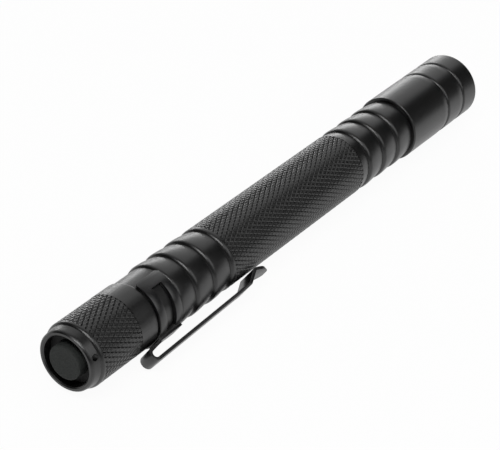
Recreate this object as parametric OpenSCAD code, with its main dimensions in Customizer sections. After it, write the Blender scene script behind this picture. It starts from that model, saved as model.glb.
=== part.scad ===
// Pocket penlight for two AAA cells, lying on its side along +Y with the beam towards +Y.
// The origin is on the axis, at the front end of the bezel's collar.
// Every turned piece is drawn along the axis from the tail rim and then laid down.

/* [Cells] */
// Diameter of one cell
cell_d = 10.4; // [9.8:0.1:10.5]
// Length of one cell with its nub
cell_len = 44.5; // [43.5:0.1:45]
// Gap between cell and barrel wall
cell_gap = 0.25; // [0.1:0.05:0.4]

/* [Barrel] */
// Diameter over the crests of the knurl
barrel_d = 14.72; // [14.4:0.02:15.2]
// Diameter at the crest of a grip band
band_crest_d = 14.84; // [14.6:0.02:15.2]
// Diameter in the valley between grip bands
band_valley_d = 13.8; // [13.6:0.02:14.2]
// Length of one grip band
band_pitch = 6; // [5:0.1:6.5]
// Length of the first band, next to the clip
first_band_len = 5.5; // [4.8:0.1:6]
// Length of the last band, next to the head
last_band_len = 6.85; // [6:0.05:7.5]
// Grip bands at the rear
rear_bands = 3; // [2:1:4]
// Grip bands at the front
front_bands = 3; // [2:1:4]
// Length of the knurled stretch, valley to valley, round cells of the standard length
knurl_len = 53.75; // [50:0.25:58]
// Diameter of the neck that the clip sits on
neck_d = 13.9; // [13.6:0.05:14.1]
// Length of the neck
neck_len = 7.25; // [7.25:0.05:8]

/* [Tail cap] */
// Diameter of the cap over its knurl
cap_d = 14.5; // [14.2:0.05:14.7]
// Length of the cap
cap_len = 20; // [19.5:0.1:22]
// Outer diameter of the tail rim
rim_d = 13.04; // [12.8:0.02:13.2]
// Diameter of the smooth collar at its front end
collar_d = 13.66; // [13.3:0.02:13.9]
// Length of the smooth collar
collar_len = 2.3; // [2.2:0.05:2.5]
// Diameter of the button recess
recess_d = 11.1; // [10.8:0.05:11.4]
// Diameter of the lanyard hole
lanyard_d = 1.4; // [1:0.05:1.4]
// Distance of the lanyard hole from the rim
lanyard_inset = 1.5; // [1.1:0.05:1.5]

/* [Button] */
// Diameter of the pad
pad_d = 7.6; // [7:0.1:7.8]
// Height of the pad above the rim
pad_proud = 0.4; // [0.1:0.05:0.6]
// Travel of the button
button_travel = 1.3; // [1:0.1:1.5]

/* [Clip] */
// Thickness of the spring steel
clip_t = 0.7; // [0.5:0.05:0.8]
// Width of the split ring along the barrel
clip_ring_w = 7.05; // [6.4:0.05:7.1]
// Width of the two strips beside the window
clip_strip_w = 2; // [1.2:0.1:2.4]
// Width of the arm
clip_arm_w = 4.0; // [3.4:0.1:4.4]
// Width of the leaf at the tip
clip_leaf_w = 5.6; // [4.6:0.1:6]
// Inner radius of the hairpin bend
clip_bend_r = 0.72; // [0.6:0.02:0.9]
// Length of the leg from the ring to the hairpin
clip_leg_len = 3.1; // [2:0.05:4]
// Length of the arm from the hairpin to the leaf
clip_arm_len = 31.5; // [28:0.05:34]
// Angle of the clip below the horizontal when the light lies at rest
clip_roll = 28.5; // [0:0.5:60]
// Half of the ring's wrap
clip_wrap = 118; // [110:1:135]

/* [Head] */
// Diameter of the head
head_d = 15.5; // [15.2:0.05:16]
// Length of the head behind the bezel
head_len = 22.8; // [21:0.1:25]
// Rounding of the edge at the head's rear face
head_edge = 0.35; // [0.2:0.05:0.6]
// Place of the turned groove, from the head's rear end
head_groove_at = 15.8; // [14:0.1:17]
// Length of the bezel ring
bezel_len = 5.9; // [5.4:0.1:7]
// Clear opening of the bezel
bezel_open_d = 12.2; // [11.6:0.1:12.6]

/* [Hidden] */
$fn = 96;

// Overrun of every cut past the face that it opens
over = 0.5;
// Seam between pieces that meet end to end on different bodies
seam = 0.1;
// Radial clearance of a turned fit
fit = 0.05;
// Radial clearance of a squeezed seal
seal_gap = 0.01;
// Steps of a rounded stretch in a turned profile, and of a long crown
arc_steps = 6;
crown_steps = 6;
// Radius of the rounded step that faces the tail, at each band, at the head's grooves and at the cap
step_arc = 1;
// Steps of one bend of the clip
bend_steps = 10;
// Sides of a spring's wire and sections in one turn of it
wire_sides = 6;
curl_rings = 8;

// Anodised black, rubber, steel and the other finishes
anodised = [0.09, 0.09, 0.09];
rubber_black = [0.04, 0.04, 0.04];
rubber_grey = [0.18, 0.19, 0.18];
clip_black = [0.06, 0.06, 0.065];
steel = [0.72, 0.72, 0.74];
brass = [0.78, 0.62, 0.3];
board_green = [0.08, 0.26, 0.14];
board_white = [0.86, 0.86, 0.84];
nylon = [0.16, 0.16, 0.17];
cell_coat = [0.3, 0.33, 0.36];
phosphor = [0.9, 0.8, 0.3];
mirror_silver = [0.85, 0.86, 0.88];
glass_tint = [0.8, 0.88, 0.9, 0.35];

// Tail cap, inside
// Length of the lip round the recess
lip_len = 2.7;
// Wall of the cap round the switch
chamber_wall = 1.2;
// Wall of the cap round its thread
thread_wall = 0.85;
// Rounding of the rim's edge and of the recess edge
rim_round = 0.25;
// Rounding of the cap's front edge, along and across
nose_len = 0.4;
nose_drop = 0.25;
// Angle from the clip to the lanyard hole and to the first rib of the boot
lanyard_lead = 60.5;
rib_lead = 26;

// Switch stack
boot_flange_t = 0.8;
boot_web_h = 0.45;
rib_count = 3;
rib_w = 0.3;
rib_h = 0.25;
pad_gap = 0.1;
pad_round = 0.35;
switch_len = 6;
board_t = 1.2;
retainer_wall = 1.4;
retainer_slot_w = 1.2;
retainer_slot_h = 0.9;
plunger_d = 3.2;
plunger_flange_d = 5.2;
plunger_flange_t = 0.8;
plunger_tail_len = 0.9;
switch_top_t = 1;
cavity_gap = 0.3;
switch_wire = 0.35;
switch_turns = 3;

// Contact spring at the tail
tail_wire = 0.7;
tail_turns = 4.5;
spring_tip_share = 0.55;
spring_len = 7.6;
spring_touch = 0.1;

// Barrel spigots and seals
spigot_len = 7;
front_spigot_len = 6;
front_spigot_d = 13.2;
oring_w = 1.2;
oring_at = 0.55;
tail_groove_depth = 0.45;
front_groove_depth = 0.5;
thread_chamfer = 0.4;
knurl_fall_len = 4.1;
band_end_d = 13.7;

// Cells
standard_cell_len = 44.5;
nub_d = 3.6;
nub_h = 0.9;
cell_round = 0.5;
cell_base_d = 6.4;
cell_base_h = 0.25;

// Head, inside
groove_fall_len = 2.2;
groove_depth = 0.25;
bezel_spigot_len = 3;
bezel_spigot_wall = 0.37;
bezel_lip_len = 1.8;
bezel_round = 0.4;
bezel_bevel = 0.5;
lens_t = 1.6;
gasket_t = 0.5;
gasket_w = 0.5;
pill_flange_t = 1.9;
pill_web_t = 2;
pill_wall = 0.65;
driver_wall = 0.35;
contact_d = 3.4;
contact_len = 1.5;
led_base_w = 3.4;
led_base_t = 0.7;
led_dome_d = 2.6;
led_board_d = 10;
led_board_t = 1.2;
reflector_rim_t = 1;
reflector_wall = 0.6;
reflector_hole_d = 5.4;
reflector_open_d = 12;

// Clip, the rest
clip_fit = 0.05;
clip_side_gap = 0.1;
clip_plate_lift = 0.23;
clip_leg_lift = 0.53;
clip_leg_rise = 0.47;
clip_root_r = 0.3;
clip_tip_gap = 0.15;
clip_arm_drop = 0.8;
clip_dip_len = 3.6;
clip_tip_len = 4.1;
clip_tip_lift = 1.35;
clip_dip_r = 1.2;
clip_touch_r = 1;
clip_base_angle = 19.5;
clip_tab_angle = 21;
clip_tab_cut = 0.6;
clip_flare_len = 3;

// Radii
cell_r = cell_d/2;
bore_r = cell_r+cell_gap;
knurl_r = barrel_d/2;
crest_r = band_crest_d/2;
valley_r = band_valley_d/2;
band_end_r = band_end_d/2;
neck_r = neck_d/2;
cap_r = cap_d/2;
rim_r = rim_d/2;
collar_r = collar_d/2;
recess_r = recess_d/2;
chamber_r = cap_r-chamber_wall;
thread_r = cap_r-thread_wall;
spigot_r = thread_r-fit;
front_spigot_r = front_spigot_d/2;
head_r = head_d/2;
head_bore_r = front_spigot_r+fit;
bezel_open_r = bezel_open_d/2;
pad_r = pad_d/2;

// Stations along the axis from the tail rim
neck_at = cap_len+seam;
bands_at = neck_at+neck_len;
knurl_at = bands_at+first_band_len+(rear_bands-1)*band_pitch;
front_bands_at = knurl_at+knurl_len+2*(cell_len-standard_cell_len);
head_at = front_bands_at+(front_bands-1)*band_pitch+last_band_len;
bezel_at = head_at+head_len;
front_at = bezel_at+bezel_len;
origin_at = front_at-bezel_round;

flange_at = lip_len;
switch_at = flange_at+boot_flange_t;
board_at = switch_at+switch_len;
retainer_at = board_at+board_t;
cells_at = retainer_at+spring_len+spring_touch;
spigot_at = neck_at-spigot_len;
retainer_len = spigot_at-2*seam-retainer_at;
contact_at = cells_at+2*cell_len+fit;
driver_at = contact_at+contact_len;
spigot_end = head_at+front_spigot_len;
pill_front = spigot_end+pill_flange_t+fit;
led_at = pill_front+led_board_t;
lip_at = front_at-bezel_lip_len;
lens_at = lip_at-gasket_t-lens_t;

function arc_share(i) = sin(90*i/arc_steps);
function rest_share(i) = 1-cos(90*i/arc_steps);

// Quarter of an ellipse that leaves the radius r0 square to the axis and ends along it at r1
function swell(r0, r1, z0, len) =
    [for (i = [0:arc_steps]) [r0+(r1-r0)*arc_share(i), z0+len*rest_share(i)]];

// Quarter of an ellipse that leaves r0 along the axis and falls to r1
function fall(r0, r1, z0, len) =
    [for (i = [0:arc_steps]) [r1+(r0-r1)*cos(90*i/arc_steps), z0+len*arc_share(i)]];

// Round step from r0 at z0, up or down, that ends along the axis at r1, with its radius, lean and length
function step_r(r0, r1) = max(step_arc, abs(r1-r0));
function step_lean(r0, r1) = acos(1-abs(r1-r0)/step_r(r0, r1));
function step_len(r0, r1) = step_r(r0, r1)*sin(step_lean(r0, r1));
function step_to(r0, r1, z0) =
    [for (i = [1:arc_steps])
        let (b = step_lean(r0, r1)*(1-i/arc_steps))
        [r1-sign(r1-r0)*step_r(r0, r1)*(1-cos(b)), z0+step_len(r0, r1)-step_r(r0, r1)*sin(b)]];

// Crown that leaves r0 along the axis at z0 and falls ever faster to r1 at z1
function crown(r0, r1, z0, z1) =
    [for (i = [1:crown_steps])
        let (share = i/crown_steps)
        [r0-(r0-r1)*share*share, z0+(z1-z0)*share]];

// One grip band: a round step up to the crest and a crown that falls to the next valley
function grip_band(r_start, r_end, z0, z1) =
    concat(step_to(r_start, crest_r, z0),
        crown(crest_r, r_end, z0+step_len(r_start, crest_r), z1));

// Lay the light down: its axis, drawn along +Z from the tail, comes to lie along +Y
module lay() {
    rotate([-90, 0, 0])
        translate([0, 0, -origin_at])
            children();
}

module turn(points) {
    lay()
        rotate_extrude()
            polygon(points);
}

// Ring of rectangular section between two radii
module band(r_in, r_out, z0, z1) {
    translate([r_in, z0])
        square([r_out-r_in, z1-z0]);
}

// Helical wire as one tube of triangles, with its ends cut square to the wire
function coil_point(t, turns, r0, r1, z0, z1) =
    let (a = 360*turns*t, r = r0+(r1-r0)*t)
    [r*cos(a), r*sin(a), z0+(z1-z0)*t];
function coil_ring(t, turns, r0, r1, z0, z1, wire) =
    let (c = coil_point(t, turns, r0, r1, z0, z1), a = 360*turns*t)
    [for (k = [0:wire_sides-1])
        let (b = 360*k/wire_sides)
        c+wire/2*[cos(b)*cos(a), cos(b)*sin(a), sin(b)]];
function gap_of(turns, r0, r1, z0, z1, wire) =
    norm([(z1-z0)/turns, (r1-r0)/turns])-wire;

module coil(turns, r0, r1, z0, z1, wire) {
    rings = ceil(turns*curl_rings);
    points = [for (i = [0:rings]) each coil_ring(i/rings, turns, r0, r1, z0, z1, wire)];
    function at(i, k) = i*wire_sides+k%wire_sides;
    walls = [for (i = [0:rings-1], k = [0:wire_sides-1])
        each [[at(i, k), at(i+1, k), at(i+1, k+1)], [at(i, k), at(i+1, k+1), at(i, k+1)]]];
    start_cap = [for (k = [1:wire_sides-2]) [at(0, 0), at(0, k), at(0, k+1)]];
    end_cap = [for (k = [1:wire_sides-2]) [at(rings, 0), at(rings, k+1), at(rings, k)]];
    echo("least gap between turns", gap_of(turns, r0, r1, z0, z1, wire));
    polyhedron(points, concat(walls, start_cap, end_cap));
}

// Tail cap: knurled sleeve with a rim, a collar, a shoulder and a rounded front edge
module tail_cap() {
    outside = concat([[recess_r+rim_round, 0], [rim_r-rim_round, 0], [rim_r, rim_round]],
        [[collar_r, collar_len]], step_to(collar_r, cap_r, collar_len),
        fall(cap_r, cap_r-nose_drop, cap_len-nose_len, nose_len));
    inside = [[thread_r, cap_len], [thread_r, spigot_at-seam], [chamber_r, spigot_at-seam],
        [chamber_r, lip_len], [recess_r, lip_len], [recess_r, rim_round]];
    color(anodised)
        difference() {
            turn(concat(outside, inside));
            lay()
                rotate([0, 0, clip_roll-lanyard_lead])
                    translate([recess_r-over, 0, lanyard_inset])
                        rotate([0, 90, 0])
                            cylinder(h = collar_r-recess_r+2*over, d = lanyard_d, $fn = 48);
        }
}

// Rubber boot: flange under the cap's lip, a raised web in the recess and thin radial ribs
module switch_boot() {
    web_at = lip_len-boot_web_h;
    hole_r = pad_r+pad_gap;
    web_r = recess_r-fit;
    color(rubber_black)
        lay() {
            rotate_extrude() {
                band(hole_r, chamber_r-fit, flange_at, switch_at);
                band(hole_r, web_r, web_at, switch_at);
            }
            for (i = [0:rib_count-1])
                rotate([0, 0, clip_roll-rib_lead-i*360/rib_count])
                    translate([hole_r, -rib_w/2, web_at-rib_h])
                        cube([web_r-hole_r-fit, rib_w, rib_h+boot_web_h]);
        }
}

// Grey pad of the button, with a rounded edge
module button_pad() {
    color(rubber_grey)
        turn(concat([[0, -pad_proud], [pad_r-pad_round, -pad_proud]],
            [for (i = [1:arc_steps])
                [pad_r-pad_round+pad_round*arc_share(i), -pad_proud+pad_round*rest_share(i)]],
            [[pad_r, switch_at], [0, switch_at]]));
}

// Plunger under the pad, with a flange that stops it in the housing
module switch_plunger() {
    flange_z = switch_at+button_travel+switch_top_t+pad_gap+fit;
    color(nylon)
        turn([[0, switch_at], [plunger_d/2, switch_at], [plunger_d/2, flange_z],
            [plunger_flange_d/2, flange_z], [plunger_flange_d/2, flange_z+plunger_flange_t],
            [plunger_d/2, flange_z+plunger_flange_t],
            [plunger_d/2, flange_z+plunger_flange_t+plunger_tail_len],
            [0, flange_z+plunger_flange_t+plunger_tail_len]]);
}

// Housing of the click switch: room above for the pad, a top plate and a cavity for the spring
module switch_body() {
    top_z = switch_at+button_travel+pad_gap;
    wall_r = chamber_r-fit;
    cavity_r = plunger_flange_d/2+cavity_gap;
    hole_r = plunger_d/2+fit;
    color(nylon)
        turn([[pad_r+pad_gap, switch_at], [wall_r, switch_at], [wall_r, board_at], [cavity_r, board_at],
            [cavity_r, top_z+switch_top_t], [hole_r, top_z+switch_top_t], [hole_r, top_z],
            [pad_r+pad_gap, top_z]]);
}

// Return spring round the plunger's tail
module switch_spring() {
    flange_z = switch_at+button_travel+switch_top_t+pad_gap+fit;
    coil_r = (plunger_d/2+fit)/cos(180/curl_rings)+switch_wire/2;
    color(steel)
        lay()
            coil(switch_turns, coil_r, coil_r, flange_z+plunger_flange_t+switch_wire/2+fit,
                board_at-switch_wire/2-fit, switch_wire);
}

// Round board that closes the switch and carries the contact spring
module switch_board() {
    color(board_green)
        lay()
            rotate_extrude()
                band(0, chamber_r-fit, board_at, retainer_at);
}

// Threaded ring that holds the board in the cap, with two spanner slots
module switch_retainer() {
    ring_r = chamber_r-fit;
    color(brass)
        difference() {
            lay()
                rotate_extrude()
                    band(ring_r-retainer_wall, ring_r, retainer_at, retainer_at+retainer_len);
            lay()
                translate([-ring_r-over, -retainer_slot_w/2, retainer_at+retainer_len-retainer_slot_h])
                    cube([2*(ring_r+over), retainer_slot_w, retainer_slot_h+over]);
        }
}

// Conical contact spring on the board, against the rear cell
module tail_spring() {
    foot_r = chamber_r-fit-retainer_wall-tail_wire/2-fit;
    color(steel)
        lay()
            coil(tail_turns, foot_r, foot_r*spring_tip_share, retainer_at+tail_wire/2,
                retainer_at+spring_len-tail_wire/2, tail_wire);
}

// Seal ring of round section between a groove and the wall that it is pressed to
module seal_ring(r_in, r_out, z) {
    wire_r = (r_out-r_in)/2-seal_gap;
    color(rubber_black)
        lay()
            rotate_extrude()
                translate([(r_in+r_out)/2, z])
                    circle(r = wire_r, $fn = 32);
}

module tail_oring() {
    seal_ring(spigot_r-tail_groove_depth, thread_r, neck_at-oring_at-oring_w/2);
}

module head_oring() {
    seal_ring(front_spigot_r-front_groove_depth, head_bore_r, head_at+oring_at+oring_w/2);
}

// Barrel: rear spigot, neck for the clip, grip bands, knurled stretch, grip bands and front spigot
module barrel() {
    rear_groove_r = spigot_r-tail_groove_depth;
    front_groove_r = front_spigot_r-front_groove_depth;
    rear_groove = neck_at-oring_at-oring_w;
    front_groove = head_at+oring_at;
    rear_spigot = [[bore_r, spigot_at], [spigot_r-thread_chamfer, spigot_at],
        [spigot_r, spigot_at+thread_chamfer], [spigot_r, rear_groove], [rear_groove_r, rear_groove],
        [rear_groove_r, rear_groove+oring_w], [spigot_r, rear_groove+oring_w], [spigot_r, neck_at]];
    neck = [[neck_r, neck_at], [neck_r, bands_at]];
    first_band = grip_band(neck_r, valley_r, bands_at, bands_at+first_band_len);
    rear = [for (i = [1:rear_bands-1])
        let (z = knurl_at-(rear_bands-i)*band_pitch)
        each grip_band(valley_r, valley_r, z, z+band_pitch)];
    knurl_end = front_bands_at-knurl_fall_len;
    knurl = concat(step_to(valley_r, knurl_r, knurl_at), [[knurl_r, knurl_end]],
        crown(knurl_r, valley_r, knurl_end, front_bands_at));
    front = [for (i = [0:front_bands-2])
        let (z = front_bands_at+i*band_pitch)
        each grip_band(valley_r, valley_r, z, z+band_pitch)];
    last_band = grip_band(valley_r, band_end_r, head_at-last_band_len, head_at);
    front_spigot = [[front_spigot_r, head_at], [front_spigot_r, front_groove],
        [front_groove_r, front_groove], [front_groove_r, front_groove+oring_w],
        [front_spigot_r, front_groove+oring_w], [front_spigot_r, spigot_end-thread_chamfer],
        [front_spigot_r-thread_chamfer, spigot_end], [bore_r, spigot_end]];
    color(anodised)
        turn(concat(rear_spigot, neck, first_band, rear, knurl, front, last_band, front_spigot));
}

// One AAA cell, its nub towards the front
module cell(z) {
    nub_z = z+cell_len-nub_h;
    color(cell_coat)
        turn([[0, z], [cell_base_d/2, z], [cell_base_d/2, z+cell_base_h], [cell_r-cell_round, z+cell_base_h],
            [cell_r, z+cell_base_h+cell_round], [cell_r, nub_z-cell_round], [cell_r-cell_round, nub_z],
            [nub_d/2, nub_z], [nub_d/2, z+cell_len], [0, z+cell_len]]);
}

module rear_cell() {
    cell(cells_at);
}

module front_cell() {
    cell(cells_at+cell_len);
}

// Brass button on the driver, against the front cell
module positive_contact() {
    color(brass)
        lay()
            translate([0, 0, contact_at])
                cylinder(h = contact_len, d = contact_d);
}

// Round driver board in the rear of the pill
module driver_board() {
    color(board_green)
        lay()
            translate([0, 0, driver_at])
                cylinder(h = board_t, r = bore_r-2*fit-driver_wall-fit);
}

// Pill: skirt in the barrel's bore, a web and a flange on the end of the front spigot
module pill() {
    skirt_r = bore_r-2*fit;
    seat_r = skirt_r-driver_wall;
    flange_z = spigot_end+fit;
    color(brass)
        turn([[seat_r, driver_at], [skirt_r, driver_at], [skirt_r, flange_z], [front_spigot_r, flange_z],
            [front_spigot_r, pill_front], [0, pill_front], [0, pill_front-pill_web_t],
            [skirt_r-pill_wall, pill_front-pill_web_t], [skirt_r-pill_wall, driver_at+board_t],
            [seat_r, driver_at+board_t]]);
}

// Metal-core board on the pill
module led_board() {
    color(board_white)
        lay()
            translate([0, 0, pill_front])
                cylinder(h = led_board_t, d = led_board_d);
}

// LED package: square base with a dome
module led_emitter() {
    color(phosphor)
        lay() {
            translate([-led_base_w/2, -led_base_w/2, led_at])
                cube([led_base_w, led_base_w, led_base_t]);
            translate([0, 0, led_at+led_base_t])
                difference() {
                    sphere(d = led_dome_d);
                    translate([-led_dome_d, -led_dome_d, -2*led_dome_d-led_base_t/2])
                        cube(2*led_dome_d);
                }
        }
}

// Parabolic reflector: its rim under the lens, its hole round the emitter
module reflector() {
    steps = 12;
    open_r = reflector_open_d/2;
    hole_r = reflector_hole_d/2;
    seat_r = head_bore_r-fit;
    depth = lens_at-led_at;
    bowl = depth/(open_r*open_r-hole_r*hole_r);
    function bowl_z(r) = led_at+bowl*(r*r-hole_r*hole_r);
    inner = [for (i = [0:steps]) let (r = open_r+(hole_r-open_r)*i/steps) [r, bowl_z(r)]];
    outer = [for (i = [0:steps]) let (r = hole_r+(open_r-hole_r)*i/steps)
        [r+reflector_wall, min(bowl_z(r), lens_at-reflector_rim_t)]];
    color(mirror_silver)
        turn(concat(inner, outer, [[seat_r, lens_at-reflector_rim_t], [seat_r, lens_at]]));
}

// Flat glass window on the reflector's rim
module lens() {
    color(glass_tint)
        lay()
            translate([0, 0, lens_at])
                cylinder(h = lens_t, r = head_bore_r-fit);
}

// Flat seal between the window and the bezel's lip
module lens_gasket() {
    color(rubber_black)
        lay()
            rotate_extrude()
                band(head_bore_r-fit-gasket_w, head_bore_r-fit, lens_at+lens_t, lip_at);
}

// Head: sleeve with a flat rear face, a turned groove and a counterbore for the bezel
module head() {
    counter_r = head_bore_r+fit+bezel_spigot_wall+fit;
    counter_z = bezel_at-bezel_spigot_len-fit;
    groove_z = head_at+head_groove_at;
    groove_r = head_r-groove_depth;
    color(anodised)
        turn(concat([[head_bore_r, head_at]], swell(head_r-head_edge, head_r, head_at, head_edge),
            [[head_r, groove_z-groove_fall_len]],
            crown(head_r, groove_r, groove_z-groove_fall_len, groove_z), step_to(groove_r, head_r, groove_z),
            [[head_r, bezel_at-groove_fall_len]],
            crown(head_r, groove_r, bezel_at-groove_fall_len, bezel_at),
            [[counter_r, bezel_at], [counter_r, counter_z], [head_bore_r, counter_z]]));
}

// Bezel: front ring with a spigot in the head, a pocket for the window and a lip
module bezel_ring() {
    pocket_r = head_bore_r+fit;
    spigot_out_r = pocket_r+bezel_spigot_wall;
    groove_r = head_r-groove_depth;
    color(anodised)
        turn(concat([[pocket_r, bezel_at-bezel_spigot_len], [spigot_out_r, bezel_at-bezel_spigot_len],
            [spigot_out_r, bezel_at], [groove_r, bezel_at]], step_to(groove_r, head_r, bezel_at),
            fall(head_r, head_r-bezel_round, front_at-bezel_round, bezel_round),
            [[bezel_open_r+bezel_bevel, front_at], [bezel_open_r, front_at-bezel_bevel],
            [bezel_open_r, lip_at], [pocket_r, lip_at]]));
}

// Strip of constant thickness along a path of [along, out, bend radius] points, with round bends
function way(a, b) = (b-a)/norm(b-a);
function flat(p) = [p[0], p[1]];
function turn_angle(p, i) =
    let (u = way(flat(p[i-1]), flat(p[i])), v = way(flat(p[i]), flat(p[i+1])))
    atan2(u[0]*v[1]-u[1]*v[0], u*v);
function bend_reach(p, i) =
    i == 0 || i == len(p)-1 ? 0 : p[i][2]*tan(abs(turn_angle(p, i))/2);

// Centre and left-hand normal of the strip along one bend, or at an end
function bend_walk(p, i) =
    let (u = way(flat(p[i-1]), flat(p[i])), side = sign(turn_angle(p, i)), start = [-u[1], u[0]],
        c = flat(p[i])-u*bend_reach(p, i)+side*start*p[i][2])
    [for (k = [0:bend_steps])
        let (a = turn_angle(p, i)*k/bend_steps,
            n = [start[0]*cos(a)-start[1]*sin(a), start[0]*sin(a)+start[1]*cos(a)])
        [c-side*n*p[i][2], n]];
function end_walk(p, i, j) =
    let (u = way(flat(p[i]), flat(p[j])))
    [flat(p[i]), i < j ? [-u[1], u[0]] : [u[1], -u[0]]];

module strip(p, t) {
    last = len(p)-1;
    walk = concat([end_walk(p, 0, 1)], [for (i = [1:last-1]) each bend_walk(p, i)],
        [end_walk(p, last, last-1)]);
    count = len(walk);
    polygon(concat([for (w = walk) w[0]+w[1]*t/2],
        [for (k = [1:count]) walk[count-k][0]-walk[count-k][1]*t/2]));
}

// Pocket clip: split ring with a window on each side, hairpin, arm and flared leaf
module pocket_clip() {
    ring_in = neck_r+clip_fit;
    ring_mid = ring_in+clip_t/2;
    ring_at = neck_at+clip_side_gap;
    ring_end = ring_at+clip_ring_w;
    bend_mid = clip_bend_r+clip_t/2;
    leg_out = ring_mid+clip_leg_lift;
    bend_out = leg_out+clip_leg_rise;
    hairpin_z = ring_at-clip_leg_len;
    arm_out = bend_out+2*bend_mid;
    leaf_z = hairpin_z+clip_arm_len;
    touch_z = leaf_z+clip_dip_len;
    touch_out = knurl_r+clip_tip_gap+clip_t/2;
    tip_z = touch_z+clip_tip_len;
    half_leaf = clip_leaf_w/2;
    plate_out = ring_mid+clip_plate_lift;
    path = [[ring_end, plate_out, 0],
        [ring_at+clip_t/2, plate_out, clip_root_r+clip_t/2],
        [ring_at-clip_t/2, leg_out, clip_root_r+clip_t/2],
        [hairpin_z-bend_mid, bend_out, bend_mid],
        [hairpin_z-bend_mid, arm_out, bend_mid],
        [leaf_z, arm_out-clip_arm_drop, clip_dip_r],
        [touch_z, touch_out, clip_touch_r],
        [tip_z, touch_out+clip_tip_lift, 0]];
    color(clip_black)
        lay()
            rotate([0, 0, clip_roll]) {
                difference() {
                    rotate_extrude(angle = 2*clip_wrap, start = -clip_wrap)
                        band(ring_in, ring_in+clip_t, ring_at, ring_end);
                    for (side = [-1, 1])
                        rotate([0, 0, side > 0 ? clip_base_angle : clip_tab_angle-clip_wrap])
                            rotate_extrude(angle = clip_wrap-clip_tab_angle-clip_base_angle)
                                band(ring_in-over, ring_in+clip_t+over, ring_at+clip_strip_w,
                                    ring_end-clip_strip_w);
                    for (side = [-1, 1])
                        rotate([0, 0, side*clip_wrap]) {
                            tab_corner(side, ring_at, 1);
                            tab_corner(side, ring_end, -1);
                        }
                }
                intersection() {
                    translate([0, half_leaf, 0])
                        rotate([90, 0, 0])
                            linear_extrude(clip_leaf_w)
                                rotate(90)
                                    mirror([0, 1])
                                        strip(path, clip_t);
                    rotate([0, 90, 0])
                        linear_extrude(arm_out+clip_t+over)
                            mirror([1, 0])
                                clip_plan(hairpin_z-2*bend_mid, leaf_z, touch_z, tip_z);
                }
            }
}

// Cutter for one bevelled corner at an end of the ring
module tab_corner(side, z, way_in) {
    reach = clip_tab_cut+over;
    rotate([90, 0, 90])
        linear_extrude(neck_r+clip_fit+clip_t+over)
            polygon([[side*over, z-way_in*over], [-side*reach, z-way_in*over], [side*over, z+way_in*reach]]);
}

// Outline of the clip's leg, arm and leaf seen from outside, along the axis and across
module clip_plan(rear, leaf_z, touch_z, tip_z) {
    half_arm = clip_arm_w/2;
    half_leaf = clip_leaf_w/2;
    polygon([[rear, -half_arm], [leaf_z-clip_flare_len, -half_arm], [leaf_z, -half_leaf],
        [touch_z, -half_leaf], [touch_z, half_leaf], [leaf_z, half_leaf],
        [leaf_z-clip_flare_len, half_arm], [rear, half_arm]]);
    intersection() {
        translate([tip_z-half_leaf, 0])
            circle(r = half_leaf);
        translate([tip_z-half_leaf, -half_leaf])
            square([clip_leaf_w, clip_leaf_w]);
    }
    translate([touch_z-half_leaf, -half_leaf])
        square([tip_z-touch_z, clip_leaf_w]);
}

tail_cap();
switch_boot();
button_pad();
switch_plunger();
switch_body();
switch_spring();
switch_board();
switch_retainer();
tail_spring();
tail_oring();
pocket_clip();
barrel();
rear_cell();
front_cell();
head_oring();
head();
pill();
driver_board();
positive_contact();
led_board();
led_emitter();
reflector();
lens();
lens_gasket();
bezel_ring();
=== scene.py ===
import math
import bpy
import bmesh
from mathutils import Matrix, Vector


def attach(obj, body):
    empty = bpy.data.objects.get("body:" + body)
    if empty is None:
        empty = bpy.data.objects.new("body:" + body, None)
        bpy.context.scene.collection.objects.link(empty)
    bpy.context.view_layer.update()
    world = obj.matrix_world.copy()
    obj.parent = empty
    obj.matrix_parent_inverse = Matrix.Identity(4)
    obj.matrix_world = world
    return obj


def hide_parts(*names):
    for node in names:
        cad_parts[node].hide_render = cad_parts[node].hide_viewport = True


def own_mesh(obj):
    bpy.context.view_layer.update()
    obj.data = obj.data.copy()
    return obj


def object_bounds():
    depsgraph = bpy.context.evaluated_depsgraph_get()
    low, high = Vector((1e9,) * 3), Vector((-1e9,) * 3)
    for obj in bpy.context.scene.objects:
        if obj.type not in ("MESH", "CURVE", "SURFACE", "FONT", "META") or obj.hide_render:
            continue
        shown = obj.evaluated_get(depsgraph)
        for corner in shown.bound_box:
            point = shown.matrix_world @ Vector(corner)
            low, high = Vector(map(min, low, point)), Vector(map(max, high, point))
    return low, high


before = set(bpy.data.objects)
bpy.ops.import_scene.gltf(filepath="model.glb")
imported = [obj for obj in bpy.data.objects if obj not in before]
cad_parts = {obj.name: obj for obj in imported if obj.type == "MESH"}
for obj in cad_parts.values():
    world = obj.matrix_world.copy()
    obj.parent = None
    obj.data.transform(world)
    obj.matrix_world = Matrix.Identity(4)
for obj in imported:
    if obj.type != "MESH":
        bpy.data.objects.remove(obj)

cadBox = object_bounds()
scene = bpy.context.scene
scene.view_settings.view_transform = "Standard"
mm = 0.001
onAxis = (0, 0, 0)
alongAxis = Vector((0, 1, 0))
weld = 0.0002 * mm       # CAD points nearer than this are one point
seam = 0.001 * mm        # the same for points of a knurl or a thread
print("frame loaded:", len(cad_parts), "nodes")


def toLinear(code):
    # sRGB hex to the linear values that the sockets take
    shares = [int(code[i:i + 2], 16) / 255 for i in (1, 3, 5)]
    return [s / 12.92 if s <= 0.04045 else ((s + 0.055) / 1.055) ** 2.4 for s in shares] + [1.0]


def addNode(tree, kind, settings=None, links=None):
    # settings go to the node's own properties or to its inputs, links come from other nodes' outputs
    node = tree.nodes.new(kind)
    for key, value in (settings or {}).items():
        if isinstance(key, int) or key in node.inputs:
            node.inputs[key].default_value = value
        else:
            setattr(node, key, value)
    for key, source in (links or {}).items():
        tree.links.new(source, node.inputs[key])
    return node


def emptyTree(owner):
    owner.use_nodes = True
    owner.node_tree.nodes.clear()
    return owner.node_tree


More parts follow.
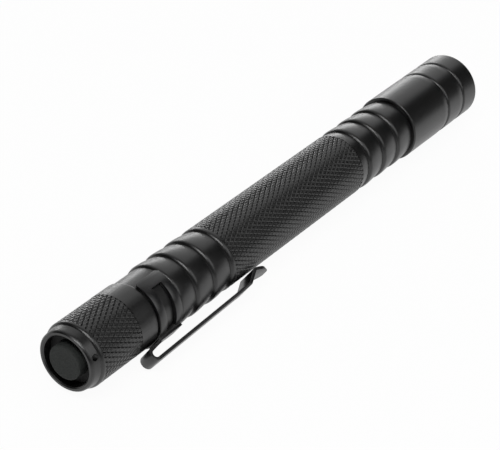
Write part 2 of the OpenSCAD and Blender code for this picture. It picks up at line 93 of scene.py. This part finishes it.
noiseSpan = (0.3, 0.7)   # most of a noise texture's values lie here
wearAndSheenSpan = (0.99, 0.85)  # cosine of true and rounded normal where the lighter edge, partly wear and partly a painted highlight, starts, and where it is full


def makeMaterial(name, look):
    # one build for every opaque finish: mottled colour, uneven roughness, grain, tool lines and lighter edges
    # that are partly wear and partly a painted highlight
    # the colours of a Mix node are its inputs 6 and 7 and its output 2
    material = bpy.data.materials.new(name)
    tree = emptyTree(material)
    place = addNode(tree, "ShaderNodeTexCoord").outputs["Object"]
    mottle = addNode(tree, "ShaderNodeTexNoise", {"Scale": 1 / look["mottle"], "Detail": 3.0},
                     {"Vector": place}).outputs[0]
    grain = addNode(tree, "ShaderNodeTexNoise", {"Scale": 1 / look["grain"], "Detail": 2.0},
                    {"Vector": place}).outputs[0]
    colour = addNode(tree, "ShaderNodeMix", {"data_type": "RGBA", 6: toLinear(look["colours"][0]),
                     7: toLinear(look["colours"][1])}, {0: mottle}).outputs[2]
    rough = addNode(tree, "ShaderNodeMapRange", {"From Min": noiseSpan[0], "From Max": noiseSpan[1],
                    "To Min": look["rough"][0], "To Max": look["rough"][1]}, {"Value": grain}).outputs[0]
    normal = addNode(tree, "ShaderNodeBump", {"Strength": 1.0, "Distance": look["grainDepth"]},
                     {"Height": grain}).outputs[0]
    if "lines" in look:
        # tool lines run round the axis, so the pattern is squeezed along it and drawn out across it
        drawn = addNode(tree, "ShaderNodeMapping", {"Scale": (look["lineDraw"], 1.0, look["lineDraw"])},
                        {"Vector": place}).outputs[0]
        lines = addNode(tree, "ShaderNodeTexNoise", {"Scale": 1 / look["lines"], "Detail": 2.0},
                        {"Vector": drawn}).outputs[0]
        normal = addNode(tree, "ShaderNodeBump", {"Strength": 1.0, "Distance": look["lineDepth"]},
                         {"Height": lines, "Normal": normal}).outputs[0]
    if "wearAndSheen" in look:
        # the edges are lightened, partly as wear and partly as a painted highlight; the rounded normal leaves
        # the true one only near an edge
        rounded = addNode(tree, "ShaderNodeBevel", {"samples": 4, "Radius": look["wearAndSheenReach"]}).outputs[0]
        plain = addNode(tree, "ShaderNodeNewGeometry").outputs["Normal"]
        agree = addNode(tree, "ShaderNodeVectorMath", {"operation": "DOT_PRODUCT"},
                        {0: rounded, 1: plain}).outputs["Value"]
        edge = addNode(tree, "ShaderNodeMapRange", {"From Min": wearAndSheenSpan[0], "From Max": wearAndSheenSpan[1],
                       "To Min": 0.0, "To Max": look["wearAndSheenShare"]}, {"Value": agree}).outputs[0]
        patchy = addNode(tree, "ShaderNodeMath", {"operation": "MULTIPLY"}, {0: edge, 1: mottle}).outputs[0]
        # the lighter grey laid on the edges is partly wear and partly a painted edge highlight
        colour = addNode(tree, "ShaderNodeMix", {"data_type": "RGBA", 7: toLinear(look["wearAndSheen"])},
                         {0: patchy, 6: colour}).outputs[2]
    shader = addNode(tree, "ShaderNodeBsdfPrincipled", {"Metallic": look["metallic"], "IOR": look["ior"]},
                     {"Base Color": colour, "Roughness": rough, "Normal": normal}).outputs[0]
    addNode(tree, "ShaderNodeOutputMaterial", {}, {"Surface": shader})
    return material


# Grain, mottle and tool lines are drawn coarser than the real ones, so that they show

# Aluminium, turned and blasted, then anodised and dyed black: a deep black that only shows soft reflections
blackAnodised = makeMaterial("BlackAnodisedAluminium", {
    "colours": ("#060606", "#0a0a0a"), "mottle": 3 * mm, "metallic": 0.0, "ior": 1.6,
    "rough": (0.31, 0.39), "grain": 0.15 * mm, "grainDepth": 0.0012 * mm,
    "lines": 0.3 * mm, "lineDraw": 0.02, "lineDepth": 0.002 * mm,
    # lighter grey on the edges: partly wear, partly a painted edge highlight
    "wearAndSheen": "#3a3a3a", "wearAndSheenReach": 0.1 * mm, "wearAndSheenShare": 0.5})

# Spring steel with a black coating: as dark as the anodised aluminium, without its tool lines
blackSteel = makeMaterial("BlackCoatedSpringSteel", {
    "colours": ("#0b0b0c", "#101011"), "mottle": 2 * mm, "metallic": 0.0, "ior": 1.6,
    "rough": (0.3, 0.4), "grain": 0.12 * mm, "grainDepth": 0.001 * mm,
    # lighter grey on the edges: partly wear, partly a painted edge highlight
    "wearAndSheen": "#404040", "wearAndSheenReach": 0.1 * mm, "wearAndSheenShare": 0.5})

# Silicone rubber moulded against a blasted tool: flat dark grey with a fine speckle
greyRubber = makeMaterial("GreyMouldedRubber", {
    "colours": ("#0c0d0d", "#3a3d3b"), "mottle": 0.3 * mm, "metallic": 0.0, "ior": 1.42,
    "rough": (0.75, 0.9), "grain": 0.22 * mm, "grainDepth": 0.02 * mm})

# Moulded black rubber: dull, with no clear reflection
blackRubber = makeMaterial("BlackMouldedRubber", {
    "colours": ("#080808", "#0d0d0d"), "mottle": 0.8 * mm, "metallic": 0.0, "ior": 1.48,
    "rough": (0.6, 0.75), "grain": 0.2 * mm, "grainDepth": 0.004 * mm})

# Drawn spring wire, bright with faint drawing marks
springWire = makeMaterial("BrightDrawnSpringWire", {
    "colours": ("#b4b6ba", "#c6c7ca"), "mottle": 0.6 * mm, "metallic": 1.0, "ior": 1.5,
    "rough": (0.22, 0.34), "grain": 0.1 * mm, "grainDepth": 0.001 * mm})

# Glass-filled nylon as moulded: dark grey, dull
mouldedNylon = makeMaterial("GlassFilledNylon", {
    "colours": ("#26272a", "#2e2f31"), "mottle": 1.2 * mm, "metallic": 0.0, "ior": 1.53,
    "rough": (0.45, 0.6), "grain": 0.18 * mm, "grainDepth": 0.003 * mm})

# Green solder mask over glass-fibre board, glossy
greenMask = makeMaterial("GreenSolderMask", {
    "colours": ("#123f24", "#1a5230"), "mottle": 0.7 * mm, "metallic": 0.0, "ior": 1.5,
    "rough": (0.22, 0.32), "grain": 0.25 * mm, "grainDepth": 0.003 * mm})

# White solder mask on an aluminium core: an even white with a low gloss
whiteMask = makeMaterial("WhiteSolderMask", {
    "colours": ("#dedcd6", "#e8e7e2"), "mottle": 0.9 * mm, "metallic": 0.0, "ior": 1.5,
    "rough": (0.3, 0.42), "grain": 0.25 * mm, "grainDepth": 0.002 * mm})

# Turned brass with fine tool lines
turnedBrass = makeMaterial("TurnedBrass", {
    "colours": ("#b8934a", "#caa75c"), "mottle": 1.5 * mm, "metallic": 1.0, "ior": 1.5,
    "rough": (0.24, 0.36), "grain": 0.15 * mm, "grainDepth": 0.001 * mm,
    "lines": 0.2 * mm, "lineDraw": 0.02, "lineDepth": 0.002 * mm})

# Steel cell can in a plain grey lacquer
cellCan = makeMaterial("LacqueredCellCan", {
    "colours": ("#4b5257", "#575f64"), "mottle": 4 * mm, "metallic": 0.6, "ior": 1.5,
    "rough": (0.28, 0.38), "grain": 0.3 * mm, "grainDepth": 0.001 * mm})

# Phosphor under a silicone dome: egg-yolk yellow, slightly wet
phosphorSilicone = makeMaterial("PhosphorSilicone", {
    "colours": ("#d8b422", "#e6c640"), "mottle": 0.3 * mm, "metallic": 0.0, "ior": 1.42,
    "rough": (0.12, 0.2), "grain": 0.15 * mm, "grainDepth": 0.001 * mm})

# Aluminium vapour on a moulded cup: a mirror with a trace of orange peel
mirrorCup = makeMaterial("VapourCoatedReflector", {
    "colours": ("#d6d8da", "#e0e2e4"), "mottle": 2 * mm, "metallic": 1.0, "ior": 1.5,
    "rough": (0.05, 0.1), "grain": 0.35 * mm, "grainDepth": 0.004 * mm})

# Clear mineral glass, polished flat on both faces, with a trace of a smear
glassLook = {"tint": "#f4f8f8", "ior": 1.52, "smear": 2.5 * mm, "smearSpan": (0.4, 0.8), "rough": (0.0, 0.03)}
clearGlass = bpy.data.materials.new("ClearMineralGlass")
glassTree = emptyTree(clearGlass)
glassPlace = addNode(glassTree, "ShaderNodeTexCoord").outputs["Object"]
glassSmear = addNode(glassTree, "ShaderNodeTexNoise", {"Scale": 1 / glassLook["smear"], "Detail": 2.0},
                     {"Vector": glassPlace}).outputs[0]
glassRough = addNode(glassTree, "ShaderNodeMapRange", {
    "From Min": glassLook["smearSpan"][0], "From Max": glassLook["smearSpan"][1],
    "To Min": glassLook["rough"][0], "To Max": glassLook["rough"][1]}, {"Value": glassSmear}).outputs[0]
glassShader = addNode(glassTree, "ShaderNodeBsdfPrincipled", {
    "Base Color": toLinear(glassLook["tint"]), "IOR": glassLook["ior"], "Transmission Weight": 1.0},
    {"Roughness": glassRough}).outputs[0]
addNode(glassTree, "ShaderNodeOutputMaterial", {}, {"Surface": glassShader})
print("materials made")

# The CAD nodes that keep their shape take their finish
nodeFinish = {
    "head": blackAnodised, "bezel_ring": blackAnodised, "button_pad": greyRubber, "switch_boot": blackRubber,
    "tail_oring": blackRubber, "head_oring": blackRubber, "lens_gasket": blackRubber,
    "switch_plunger": mouldedNylon, "switch_body": mouldedNylon,
    "switch_board": greenMask, "driver_board": greenMask, "led_board": whiteMask,
    "switch_retainer": turnedBrass, "pill": turnedBrass, "positive_contact": turnedBrass,
    "rear_cell": cellCan, "front_cell": cellCan,
    "led_emitter": phosphorSilicone, "reflector": mirrorCup, "lens": clearGlass}
for name, finish in nodeFinish.items():
    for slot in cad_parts[name].material_slots:
        slot.material = finish
print("finishes on", len(nodeFinish), "nodes")


def copyOfNode(name):
    # CAD triangles are loose, so they are merged before an operator works on them
    bm = bmesh.new()
    bm.from_mesh(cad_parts[name].data)
    bmesh.ops.remove_doubles(bm, verts=bm.verts[:], dist=weld)
    return bm


def everything(bm):
    return bm.verts[:] + bm.edges[:] + bm.faces[:]


def shade(bm, limit):
    # smooth over every edge flatter than the limit
    for edge in bm.edges:
        edge.smooth = edge.is_manifold and edge.calc_face_angle() < limit
    for face in bm.faces:
        face.smooth = True


def addPiece(name, bm, material, body):
    mesh = bpy.data.meshes.new(name)
    bm.to_mesh(mesh)
    bm.free()
    mesh.materials.append(material)
    piece = bpy.data.objects.new(name, mesh)
    scene.collection.objects.link(piece)
    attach(piece, body)
    print(name, len(mesh.polygons), "faces")
    return piece


def cutEnds(bm, look):
    # what stands out past the band's ends comes off
    for station, outward in ((look["start"], -1), (look["end"], 1)):
        bmesh.ops.bisect_plane(bm, geom=everything(bm), dist=weld, plane_co=(0, station, 0),
                               plane_no=(0, outward, 0), clear_outer=True)


def knurlBand(look):
    # one diamond with a flat top, wrapped on the root cylinder, then spun round and along
    halfTurn = math.pi / look["starts"]
    halfLead = look["lead"] / 2
    rows = math.ceil((look["end"] - look["start"]) / halfLead) + 2  # two to spare
    bm = bmesh.new()
    bmesh.ops.create_circle(bm, cap_ends=True, segments=4, radius=1)
    bmesh.ops.scale(bm, vec=(look["root"] * halfTurn, halfLead, 1), verts=bm.verts[:])
    bmesh.ops.inset_individual(bm, faces=bm.faces[:], thickness=look["groove"], depth=look["depth"],
                               use_even_offset=True)
    top = max(bm.faces, key=lambda face: face.calc_center_median().z)
    bmesh.ops.bevel(bm, geom=top.edges[:], offset=look["edge"], offset_type="OFFSET", segments=1,
                    profile=0.5, affect="EDGES", material=-1)
    for vert in bm.verts:
        turn = vert.co.x / look["root"]
        reach = look["root"] + vert.co.z
        vert.co = (reach * math.sin(turn), vert.co.y + look["start"], reach * math.cos(turn))
    bmesh.ops.spin(bm, geom=everything(bm), cent=onAxis, axis=alongAxis, dvec=(0, 0, 0),
                   angle=2 * halfTurn * (look["starts"] - 1), steps=look["starts"] - 1, use_duplicate=True)
    bmesh.ops.spin(bm, geom=everything(bm), cent=onAxis, axis=alongAxis, dvec=(0, halfLead, 0),
                   angle=halfTurn * rows, steps=rows, use_duplicate=True)
    bmesh.ops.remove_doubles(bm, verts=bm.verts[:], dist=seam)
    cutEnds(bm, look)
    for face in bm.faces:
        face.smooth = False
    return bm


def threadBand(look):
    # one pitch of the profile, root and crest flat, spun along the helix with turns to spare and cut off square
    turns = math.ceil((look["end"] - look["start"]) / look["pitch"]) + look["leadIn"] + 1
    reaches = (look["root"], look["root"], look["crest"], look["crest"], look["root"])
    bm = bmesh.new()
    corners = [bm.verts.new((0, look["start"] + (i / 4 - look["leadIn"]) * look["pitch"], reach))
               for i, reach in enumerate(reaches)]  # a quarter of the pitch apart
    for pair in zip(corners, corners[1:]):
        bm.edges.new(pair)
    bmesh.ops.spin(bm, geom=everything(bm), cent=onAxis, axis=alongAxis,
                   dvec=(0, look["pitch"] / look["segments"], 0), angle=2 * math.pi * turns,
                   steps=look["segments"] * turns, use_duplicate=False)
    bmesh.ops.remove_doubles(bm, verts=bm.verts[:], dist=seam)
    cutEnds(bm, look)
    shade(bm, math.radians(look["crease"]))
    return bm


def setBand(bm, look, band):
    # the plain band of the CAD piece comes out, and the new one is set into the hole
    ends = (look["start"], look["end"])
    inner, outer = look["plain"]
    for station in ends:
        bmesh.ops.bisect_plane(bm, geom=everything(bm), dist=weld, plane_co=(0, station, 0),
                               plane_no=alongAxis)
    plain = [face for face in bm.faces if all(
        ends[0] - seam < vert.co.y < ends[1] + seam
        and inner < math.hypot(vert.co.x, vert.co.z) < outer for vert in face.verts)]
    bmesh.ops.delete(bm, geom=plain, context="FACES")
    mesh = bpy.data.meshes.new("band")
    band.to_mesh(mesh)
    band.free()
    bm.from_mesh(mesh)
    bpy.data.meshes.remove(mesh)
    for station in ends:
        rims = [edge for edge in bm.edges if edge.is_boundary
                and all(abs(vert.co.y - station) < seam for vert in edge.verts)]
        bmesh.ops.triangle_fill(bm, edges=rims, use_beauty=True, normal=alongAxis)


def turnedCopy(node, look):
    bm = copyOfNode(node)
    shade(bm, math.radians(look["crease"]))
    setBand(bm, look["thread"], threadBand(look["thread"]))
    setBand(bm, look["knurl"], knurlBand(look["knurl"]))
    bmesh.ops.recalc_face_normals(bm, faces=bm.faces[:])
    print(node, "open edges left:", sum(edge.is_boundary for edge in bm.edges))
    return bm


# Both knurls are rolled with one tool, and both threads have one pitch
diamond = {"depth": 0.18 * mm, "groove": 0.22 * mm, "edge": 0.03 * mm, "lead": 2.05 * mm}
threadForm = {"pitch": 0.75 * mm, "leadIn": 2, "segments": 64, "crease": 30, "plain": (6.2 * mm, 6.5 * mm)}

# Barrel: the long knurl between the grip bands, and the thread under the tail cap
barrelLook = {
    "crease": 40,
    "thread": {**threadForm, "start": -132.1 * mm, "end": -127.6 * mm, "root": 6.08 * mm, "crest": 6.33 * mm},
    "knurl": {**diamond, "start": -99.7 * mm, "end": -50.2 * mm, "root": 7.16 * mm, "starts": 43,
              "plain": (7.0 * mm, 7.5 * mm)}}
barrelTube = addPiece("barrel_tube", turnedCopy("barrel", barrelLook), blackAnodised, "barrel")
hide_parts("barrel")

# Tail cap: the short knurl behind its smooth band, and the thread inside
capLook = {
    "crease": 40,
    "thread": {**threadForm, "start": -132.3 * mm, "end": -127.8 * mm, "root": 6.67 * mm, "crest": 6.42 * mm},
    "knurl": {**diamond, "start": -142.5 * mm, "end": -131.0 * mm, "root": 7.05 * mm, "starts": 42,
              "plain": (6.9 * mm, 7.4 * mm)}}
capShell = addPiece("tail_cap_shell", turnedCopy("tail_cap", capLook), blackAnodised, "tail_cap")
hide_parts("tail_cap")

# Pocket clip: the CAD sheet with its cut edges rounded, angles in degrees
clipLook = {"edge": 0.08 * mm, "sharp": 40, "flat": 0.5}
clip = copyOfNode("pocket_clip")
bmesh.ops.dissolve_limit(clip, angle_limit=math.radians(clipLook["flat"]),
                         verts=clip.verts[:], edges=clip.edges[:])
cutEdges = [edge for edge in clip.edges if edge.is_manifold
            and edge.calc_face_angle() > math.radians(clipLook["sharp"])]
bmesh.ops.bevel(clip, geom=cutEdges, offset=clipLook["edge"], offset_type="OFFSET", segments=2, profile=0.5,
                affect="EDGES", material=-1, clamp_overlap=True)
shade(clip, math.radians(clipLook["sharp"]))
springClip = addPiece("spring_clip", clip, blackSteel, "clip")
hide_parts("pocket_clip")

# Springs: the CAD wires, rounded, and the button's one with a mesh of its own
springLook = {"levels": 2, "fixedEnd": (0, -136.25 * mm, 0), "pressedShare": 0.527}
springs = {}
for name, node in (("return_spring", "switch_spring"), ("contact_spring", "tail_spring")):
    wire = copyOfNode(node)
    bmesh.ops.join_triangles(wire, faces=wire.faces[:], angle_face_threshold=math.pi,
                             angle_shape_threshold=math.pi)
    shade(wire, math.pi)
    springs[name] = addPiece(name, wire, springWire, "tail_cap")
    rounding = springs[name].modifiers.new("rounding", "SUBSURF")
    rounding.levels = rounding.render_levels = springLook["levels"]
    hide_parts(node)
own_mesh(springs["return_spring"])

# Floor: a wide white disc, white to the eye and to reflections, that keeps a faint shadow
floorLook = {"radius": 3.0, "segments": 96, "shadow": 0.05, "colour": "#f8f8f8"}
floorMesh = bmesh.new()
bmesh.ops.create_circle(floorMesh, cap_ends=True, segments=floorLook["segments"], radius=floorLook["radius"])
bmesh.ops.translate(floorMesh, vec=(0, 0, cadBox[0][2]), verts=floorMesh.verts[:])
floorData = bpy.data.meshes.new("studio_floor")
floorMesh.to_mesh(floorData)
floorMesh.free()
studioFloor = bpy.data.objects.new("studio_floor", floorData)
scene.collection.objects.link(studioFloor)
floorPaint = bpy.data.materials.new("WhiteStudioFloor")
floorTree = emptyTree(floorPaint)
rays = addNode(floorTree, "ShaderNodeLightPath").outputs
direct = addNode(floorTree, "ShaderNodeMath", {"operation": "MAXIMUM"},
                 {0: rays["Is Camera Ray"], 1: rays["Is Glossy Ray"]}).outputs[0]
seen = addNode(floorTree, "ShaderNodeMath", {"operation": "MAXIMUM"},
               {0: direct, 1: rays["Is Transmission Ray"]}).outputs[0]
white = addNode(floorTree, "ShaderNodeMath", {"operation": "MULTIPLY", 1: 1 - floorLook["shadow"]},
                {0: seen}).outputs[0]
matt = addNode(floorTree, "ShaderNodeBsdfDiffuse", {"Color": toLinear(floorLook["colour"])}).outputs[0]
glow = addNode(floorTree, "ShaderNodeEmission", {"Color": toLinear("#ffffff"), "Strength": 1.0}).outputs[0]
both = addNode(floorTree, "ShaderNodeMixShader", {}, {0: white, 1: matt, 2: glow}).outputs[0]
addNode(floorTree, "ShaderNodeOutputMaterial", {}, {"Surface": both})
floorData.materials.append(floorPaint)

# World: white at the horizon, a dark room from a little above it, heights as sines of the elevation
roomLook = {"sweep": 0.0, "dark": 0.06, "room": "#202020"}
room = bpy.data.worlds.new("studio_room")
scene.world = room
roomTree = emptyTree(room)
looking = addNode(roomTree, "ShaderNodeTexCoord").outputs["Generated"]
height = addNode(roomTree, "ShaderNodeSeparateXYZ", {}, {0: looking}).outputs["Z"]
dark = addNode(roomTree, "ShaderNodeMapRange", {"From Min": roomLook["sweep"], "From Max": roomLook["dark"]},
               {"Value": height}).outputs[0]
tone = addNode(roomTree, "ShaderNodeMix", {"data_type": "RGBA", 6: toLinear("#ffffff"),
               7: toLinear(roomLook["room"])}, {0: dark}).outputs[2]
air = addNode(roomTree, "ShaderNodeBackground", {"Strength": 1.0}, {"Color": tone}).outputs[0]
addNode(roomTree, "ShaderNodeOutputWorld", {}, {"Surface": air})

# Lamps: a wide soft box and a low strip in front on the left, a smaller box high on the right,
# and a narrow one high at the rear, which draws the bright lines on the steps of the grip bands
softBoxes = {
    "left_box": {"place": (-0.60, 0.60, 0.63), "size": (1.43, 1.55), "radiance": 0.88},
    "low_box": {"place": (-0.68, 0.66, 0.05), "size": (0.9, 0.18), "radiance": 4.6},
    "right_box": {"place": (0.70, 0.10, 0.62), "size": (0.7, 0.7), "radiance": 1.6},
    "rear_box": {"place": (0.14, -0.52, 0.87), "size": (0.65, 0.30), "radiance": 9.0}}
aim = Vector((0, -70 * mm, 0))
for name, box in softBoxes.items():
    lamp = bpy.data.lights.new(name, "AREA")
    lamp.shape = "RECTANGLE"
    lamp.size, lamp.size_y = box["size"]
    lamp.energy = box["radiance"] * math.pi * box["size"][0] * box["size"][1]  # watts for that radiance
    holder = bpy.data.objects.new(name, lamp)
    holder.location = box["place"]
    holder.rotation_euler = (aim - Vector(box["place"])).to_track_quat("-Z", "Y").to_euler()
    scene.collection.objects.link(holder)
print("floor, room and lamps set")

# Camera, from the perspective of the light's own circles and length in the photograph
shot = {"place": (0.170757, -0.380550, 0.241283), "right": (0.810633, 0.571325, 0.128306),
        "up": (-0.419454, 0.413683, 0.808037), "lens": 141.4, "sensor": 36.0, "nearest": 0.01}
right = Vector(shot["right"]).normalized()
up = Vector(shot["up"]).normalized()
camera = bpy.data.cameras.new("studio_camera")
camera.lens = shot["lens"]
camera.sensor_width = shot["sensor"]
camera.sensor_fit = "HORIZONTAL"
camera.clip_start = shot["nearest"]
cameraHolder = bpy.data.objects.new("studio_camera", camera)
turned = Matrix((right, up, right.cross(up))).transposed()
cameraHolder.matrix_world = Matrix.Translation(shot["place"]) @ turned.to_4x4()
scene.collection.objects.link(cameraHolder)
scene.camera = cameraHolder
print("camera set")
